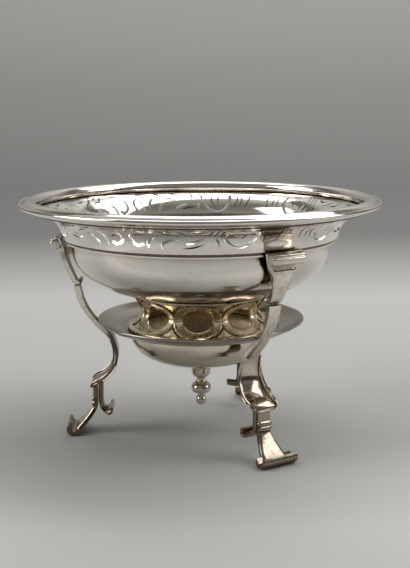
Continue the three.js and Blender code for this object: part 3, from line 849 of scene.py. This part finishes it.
def add_spandrel(bm, azimuth, side, band_z, slot):
    """A curved triangle on the top band (side 1) or the foot band (side -1), clear of its rings by slot."""
    half_pitch = math.pi * WAIST_RADIUS / RING_COUNT
    width, height = RING_OUTER[0] + slot, RING_OUTER[1] + slot
    tip = math.acos(half_pitch / width)
    base = math.asin(abs(band_z - RING_CENTRE_Z) / height)
    steps = 12
    flank = []
    for i in range(1, steps + 1):
        angle = tip + (base - tip) * i / steps
        z = RING_CENTRE_Z + side * height * math.sin(angle)
        flank.append((half_pitch - width * math.cos(angle), z))
    tip_z = RING_CENTRE_Z + side * height * math.sin(tip)
    outline = [(0, tip_z), *flank, *[(-x, z) for x, z in flank[::-1]]]
    middle_z = (tip_z + 2 * band_z) / 3
    rings = []
    for out, size in ((RING_BACK, 1.0), (-0.35, 1.0), (-0.1, 0.93), (0.0, 0.8)):
        rings.append([
            on_waist(azimuth + x * size / WAIST_RADIUS, middle_z + (z - middle_z) * size, out)
            for x, z in outline
        ])
    add_skin(bm, rings)


def gallery():
    top_z, foot_z = GALLERY_HIGH[2], GALLERY_LOW[2]
    foot_r = GALLERY_HIGH[0]
    bm = bmesh.new()
    add_lathe(bm, [
        (35.4, top_z - 2.3),
        (36.6, top_z - 2.3),
        *arc((36.8, top_z - 1.55), 0.7, -90, 20, 6),
        (37.5, top_z - 0.9),
        (37.5, top_z),
        (35.4, top_z),
    ])
    add_lathe(bm, [
        (37.2, foot_z),
        (foot_r - 0.05, foot_z),
        *arc((foot_r - 0.6, foot_z + 0.55), 0.55, -40, 80, 6),
        (39.9, foot_z + 1.2),
        (39.3, foot_z + 1.6),
        (37.2, foot_z + 1.6),
    ])
    pitch = 2 * math.pi / RING_COUNT
    for i in range(RING_COUNT):
        azimuth = math.radians(FIRST_RING_DEGREES) + pitch * i
        add_oval(bm, azimuth)
        add_spandrel(bm, azimuth + pitch / 2, side=1, band_z=top_z - 2.0, slot=1.5)
        add_spandrel(bm, azimuth + pitch / 2, side=-1, band_z=foot_z + 1.2, slot=1.0)
    seat(to_object("gallery_fine", bm, [TARNISHED]), "gallery")


def gallery_bead():
    low, high = BEAD_LOW[2], BEAD_HIGH[2]
    radius = BEAD_HIGH[0]
    outline = [
        (radius - 1.25, low + 0.02),
        *arc((radius - 0.7, (low + high) / 2), 0.69, -90, 90, 12),
        (radius - 1.25, high - 0.02),
    ]
    seat(lathe("gallery_bead_fine", outline, [TARNISHED]), "gallery_bead")


# Drip dish

def drip_dish():
    floor = GALLERY_LOW[2] - SEAM_GAP
    edge_r = DISH_HIGH[0]
    under = catmull_rom([
        (43.4, floor - 1.2), (45.6, floor - 0.75), (48.8, 60.85), (53.4, 62.7), (57.0, 64.9),
    ], 6)
    over = catmull_rom([(56.5, 66.15), (52.6, 63.75), (48.2, 61.95), (45.4, 61.45)], 6)
    outline = [
        (36.6, floor - 1.2),
        *under,
        *arc((edge_r - 0.62, 65.9), 0.62, -50, 110, 10),
        *over,
        *arc((44.2, 61.0), 0.45, 70, 160, 5),
        (43.4, floor),
        (36.6, floor),
    ]
    # The dish's darkened silver is painted shade
    seat(lathe("drip_dish_fine", outline, [DISH_SHADED_SILVER]), "drip_dish")


# Ash bowl: polished outside, stained with ash and soot inside

def ash_bowl():
    bottom = ASH_LOW[2]
    bowl_r = ASH_HIGH[0]
    outer = [(2.3, bottom), *catmull_rom([
        (9.0, bottom + 0.02),
        (20.0, bottom + 1.8),
        (29.4, bottom + 4.7),
        (36.3, bottom + 9.4),
        (39.8, bottom + 15.2),
        (bowl_r, bottom + 18.0),
        (bowl_r, ASH_HIGH[2] - 0.1),
    ], 8)]
    outline = sheet(outer, thickness=1.2)
    obj = lathe("ash_bowl_fine", outline, [ASH_SILVER, ASH], inner_from=len(outer) - 1)
    seat(obj, "ash_bowl")


# Finial

def finial():
    top = ASH_LOW[2] - SEAM_GAP
    tip = FINIAL_LOW[2]
    ball_r = 3.05
    stud_r = 1.8
    stud_top = FINIAL_HIGH[2]
    outline = [
        (0, tip),
        *arc((0, tip + ball_r), ball_r, -84, 44, 14),
        *catmull_rom([
            (1.9, 19.8), (2.0, 20.5), (2.9, 21.2), (4.7, 22.4), (5.8, 24.5), (5.0, 26.7), (3.6, 28.0),
        ], 5),
        *catmull_rom([(2.9, 28.4), (2.45, 29.3), (2.45, 30.6), (3.0, 31.2)], 4),
        *catmull_rom([(4.3, 31.7), (5.1, 32.8), (5.4, 34.4), (5.6, 36.4)], 5),
        *arc((5.55, 37.2), 0.7, -60, 70, 6),
        *arc((5.5, top - 0.65), 0.6, -50, 80, 6),
        (stud_r, top),
        (stud_r, stud_top),
        (0, stud_top),
    ]
    seat(lathe("finial_fine", outline, [FINIAL_SILVER], steps=96), "finial")


# Legs, in a leg's own frame, with X outwards: (radius, height, width, thickness) from the top down

STRAP_STEPS = 7
# The strap's edge is raised from this station down, round its lobe
LOBE_STATION = 5
# A face whose normal passes one of these, inwards or to a foot's side, gets painted shade: a dark brown
# copy of the leg's silver
INWARD = -0.35
SIDEWAYS = 0.85


def strap_section(half, deep, bevel, crown):
    """A cast strap's section: flat back, crowned face, rounded bevels. Points are (across, out)."""
    back_edge = min(0.35, 0.3 * deep)
    steps = 8
    face = []
    for i in range(steps + 1):
        across = (half - bevel) * (1 - 2 * i / steps)
        face.append((across, deep - crown * (across / half) ** 2))
    side_out = face[0][1] - bevel * 0.75
    return [
        (-half + back_edge, -deep),
        (half - back_edge, -deep),
        (half, -deep + back_edge),
        (half, side_out),
        (half - bevel * 0.4, side_out + bevel * 0.5),
        *face,
        (-half + bevel * 0.4, side_out + bevel * 0.5),
        (-half, side_out),
        (-half, -deep + back_edge),
    ]


def add_strap(bm, stations, steps=STRAP_STEPS, bevel=0.9, crown=0.25):
    """A strap along its stations, where a fifth value is a station's own crown."""
    path = catmull_rom([(*one[:4], one[4] if len(one) > 4 else crown) for one in stations], steps)
    rings = []
    for i, (r, z, width, thick, rise) in enumerate(path):
        along_r, along_z = direction(path, i)
        deep = thick / 2
        section = strap_section(width / 2, deep, min(bevel, 0.7 * deep), max(rise, 0))
        rings.append([(r - out * along_z, across, z + out * along_r) for across, out in section])
    add_skin(bm, rings)
    return path


def add_roll(bm, centre, radius, half_length):
    """The rolled top, a reeded bar across the strap with rounded ends."""
    steps = 96
    dome_r = 1.1
    reeds = 8
    reed_depth = 0.42
    corner = arc((radius - dome_r, half_length - dome_r), dome_r, 90, 0, 6)
    line = [(0.01, half_length), *corner]
    line = line + [(r, -y) for r, y in line[::-1]]
    rings = []
    for r, y in line:
        ring = []
        for i in range(steps):
            angle = 2 * math.pi * i / steps
            reach = r * (1 - reed_depth / radius * abs(math.sin(reeds * angle / 2)) ** 3)
            ring.append((centre[0] + reach * math.cos(angle), y, centre[1] + reach * math.sin(angle)))
        rings.append(ring)
    add_skin(bm, rings)


def add_tube(bm, path, radius, sides=10):
    # No stretch of the path runs this way, so it serves to find two directions across it
    aside = Vector((0.3, 0.2, 1))
    rings = []
    for i, p in enumerate(path):
        tangent = (Vector(path[min(i + 1, len(path) - 1)]) - Vector(path[max(i - 1, 0)])).normalized()
        across = tangent.cross(aside).normalized()
        other = tangent.cross(across)
        ring = []
        for k in range(sides):
            angle = 2 * math.pi * k / sides
            ring.append(Vector(p) + radius * (math.cos(angle) * across + math.sin(angle) * other))
        rings.append(ring)
    add_skin(bm, rings)


def leg_scroll(bm):
    add_roll(bm, centre=(79.3, 110.0), radius=3.4, half_length=10.2)
    add_strap(bm, [
        (77.3, 112.9, 22.6, 1.2), (76.7, 110.6, 21.4, 1.5), (76.1, 108.2, 19.4, 1.9),
        (75.9, 106.5, 18.2, 2.4), (75.8, 104.4, 16.6, 2.8), (75.3, 101.0, 12.8, 3.0),
        (74.0, 96.1, 10.0, 3.1), (72.0, 91.6, 8.4, 3.1), (70.6, 88.4, 7.6, 3.0),
        (69.2, 87.0, 7.4, 2.6), (67.7, 87.0, 7.0, 2.2), (66.8, 88.1, 6.6, 1.8),
        (66.9, 89.4, 6.0, 1.4),
    ], crown=0.0)
    collar = [(77.1, 104.5, 14.6, 1.0), (77.3, 103.2, 13.6, 1.3), (76.9, 101.9, 12.6, 1.0)]
    add_strap(bm, collar, steps=3, bevel=0.4, crown=0.0)
    lug = [(71.9, 103.0), (76.0, 103.0), (76.0, 107.0), (71.9, 107.0)]
    add_skin(bm, [[(r, y, z) for r, z in lug] for y in (-4, 4)])


def leg_strap(bm):
    stations = [
        (69.0, 84.9, 7.6, 4.0), (67.6, 78.4, 7.2, 3.9), (64.4, 71.2, 7.0, 3.2), (58.2, 63.0, 7.2, 3.0),
        (53.9, 58.8, 8.0, 3.0), (50.3, 54.4, 9.8, 3.0, 0.5), (48.4, 49.2, 12.0, 3.0, 1.0),
        (48.3, 43.6, 14.2, 2.9, 1.8), (49.7, 38.8, 15.8, 2.8, 2.1), (52.9, 34.6, 17.0, 2.7, 2.0),
        (56.6, 31.8, 17.4, 2.6, 1.8), (60.0, 30.2, 16.8, 2.4, 1.3), (61.6, 28.4, 15.0, 2.2, 0.8),
        (61.8, 27.0, 11.6, 2.0, 0.3),
    ]
    path = add_strap(bm, stations)
    wire_r, sunk, inset = 0.5, 0.35, 0.45
    edge = []
    for i in range(LOBE_STATION * STRAP_STEPS, len(path)):
        r, z, width, thick = path[i][:4]
        along_r, along_z = direction(path, i)
        out = thick / 2 - sunk
        edge.append((r - out * along_z, width / 2 - inset, z + out * along_r))
    edge.append((edge[-1][0], 2.0, edge[-1][2] - 0.1))
    add_tube(bm, edge + [(r, -y, z) for r, y, z in edge[::-1]], wire_r)


def toe_foot(bm):
    add_strap(bm, [
        (60.3, 26.4, 7.6, 2.9), (60.3, 22.6, 7.7, 2.9), (60.3, 20.7, 7.8, 2.9), (60.7, 19.5, 8.8, 3.7),
        (60.3, 18.3, 7.8, 2.9), (60.7, 16.9, 8.8, 3.7), (60.5, 15.4, 7.8, 2.9), (62.2, 12.0, 9.2, 2.9),
        (65.0, 8.3, 11.6, 2.9), (67.9, 5.2, 13.8, 2.8), (69.6, 3.5, 14.6, 2.6), (71.2, 2.2, 15.0, 1.8),
    ], crown=0.15)
    half, rounding = 10.9, 0.35
    centre = (72.2, 2.9)
    inner = catmull_rom([(69.2, 5.0), (70.8, 3.0), (72.6, 2.5), (74.2, 3.6), (75.1, 5.9)], 5)
    outer = catmull_rom([(75.7, 6.2), (76.6, 4.2), (75.8, 1.7), (73.8, 0.15)], 5)
    profile = inner + outer + [(73.4, 0.02), (70.2, 0.02), (68.6, 1.6), (68.1, 3.6)]
    rings = []
    for y, size in ((-half, 0.9), (-half + rounding, 1.0), (half - rounding, 1.0), (half, 0.9)):
        rings.append([
            (centre[0] + (r - centre[0]) * size, y, centre[1] + (z - centre[1]) * size) for r, z in profile
        ])
    add_skin(bm, rings)


def spur_foot(bm):
    add_strap(bm, [
        (57.0, 29.2, 7.4, 2.5), (57.1, 24.0, 7.6, 2.7), (57.1, 18.0, 7.6, 2.7), (56.6, 15.2, 8.0, 2.6),
        (55.3, 13.0, 9.4, 2.4), (53.8, 12.0, 11.6, 2.2), (53.1, 11.9, 16.0, 2.2), (51.8, 12.4, 16.5, 2.2),
        (51.0, 13.8, 16.5, 2.0), (51.2, 15.6, 16.0, 1.8),
    ], crown=0.1)


def legs():
    pieces = {
        "leg_scroll": leg_scroll,
        "leg_strap": leg_strap,
        "toe_foot": toe_foot,
        "spur_foot": spur_foot,
    }
    for piece, build in pieces.items():
        for place, azimuth in LEG_AZIMUTHS.items():
            bm = bmesh.new()
            build(bm)
            bmesh.ops.recalc_face_normals(bm, faces=bm.faces)
            is_foot = piece in ("toe_foot", "spur_foot")
            for face in bm.faces:
                # Inward faces and the feet's sides take the dark copy of the silver: painted shade
                dark = face.normal.x < INWARD or is_foot and abs(face.normal.y) > SIDEWAYS
                face.material_index = int(dark)
            turn = Matrix.Rotation(math.radians(azimuth - 90), 3, "Z")
            bmesh.ops.rotate(bm, verts=bm.verts, cent=(0, 0, 0), matrix=turn)
            metal = FOOT_SILVER if is_foot else LEG_SILVER
            obj = to_object(f"{piece}_{place}_fine", bm, [metal, LEG_PAINTED_SHADE])
            seat(obj, f"{piece}_{place}")


# Stage: a paper sweep, soft boxes over and beside the object, and the room around them

def stage():
    near, level_end, wall_top, half_width = -3.0, 0.3, 2.4, 3.0
    turn_y, turn_r = 0.75, 0.45
    line = [
        (near, 0.0),
        (level_end, 0.0),
        *arc((turn_y, turn_r), turn_r, -90, 0, 16),
        (turn_y + turn_r, wall_top),
    ]
    bm = bmesh.new()
    rows = [[bm.verts.new((x, y, z)) for x in (-half_width, half_width)] for y, z in line]
    for a, b in zip(rows, rows[1:]):
        bm.faces.new((a[0], a[1], b[1], b[0]))
    sweep = to_object("sweep", bm, [backdrop_material()])


def softbox(name, place, target, size, power):
    data = bpy.data.lights.new(name, "AREA")
    data.shape = "RECTANGLE"
    data.size, data.size_y = size
    data.energy = power
    lamp = bpy.data.objects.new(name, data)
    lamp.location = place
    lamp.rotation_euler = (Vector(target) - Vector(place)).to_track_quat("-Z", "Y").to_euler()
    bpy.context.collection.objects.link(lamp)


def lights():
    softbox("top_box", place=(0.45, 0.6, 1.5), target=(0.2, 0.2, 0), size=(2.2, 1.1), power=20)
    softbox("left_box", place=(-1.3, -0.2, 0.8), target=(0, 0, 0.1), size=(0.8, 1.0), power=9)
    softbox("right_box", place=(1.2, -0.1, 0.9), target=(0, 0, 0.1), size=(0.6, 1.0), power=4.5)


def room():
    """A bright room behind the object and, behind the photographer, a dim one with a pale band."""
    world = bpy.data.worlds.new("room")
    bpy.context.scene.world = world
    world.use_nodes = True
    tree = world.node_tree
    background = tree.nodes["Background"]
    toward = axes(tree, "Generated")
    rear = ramp(tree, toward["Z"], [
        (0.0, grey(0.20)),
        (0.30, grey(0.25)),
        (0.55, grey(0.50)),
        (1.0, grey(0.90)),
    ])
    front = ramp(tree, toward["Z"], [
        (0.0, (0.050, 0.048, 0.045)),
        (0.22, (0.050, 0.048, 0.045)),
        (0.38, (0.24, 0.235, 0.22)),
        (0.6, (0.18, 0.175, 0.165)),
        (0.8, (0.15, 0.145, 0.135)),
        (1.0, (0.30, 0.29, 0.27)),
    ])
    colour = mix(tree, between(tree, toward["Y"], -0.12, 0.5), front, rear)
    tree.links.new(colour, background.inputs["Color"])
    background.inputs["Strength"].default_value = 1.0


bpy.context.scene.view_settings.view_transform = "Standard"
photo_camera()
rim_moulding()
pierced_border()
bowl_pan()
grate()
gallery()
gallery_bead()
drip_dish()
ash_bowl()
finial()
legs()
for node in ("finial_washer", "finial_nut"):
    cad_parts[node].data.materials.clear()
    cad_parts[node].data.materials.append(SOOT)
stage()
lights()
room()
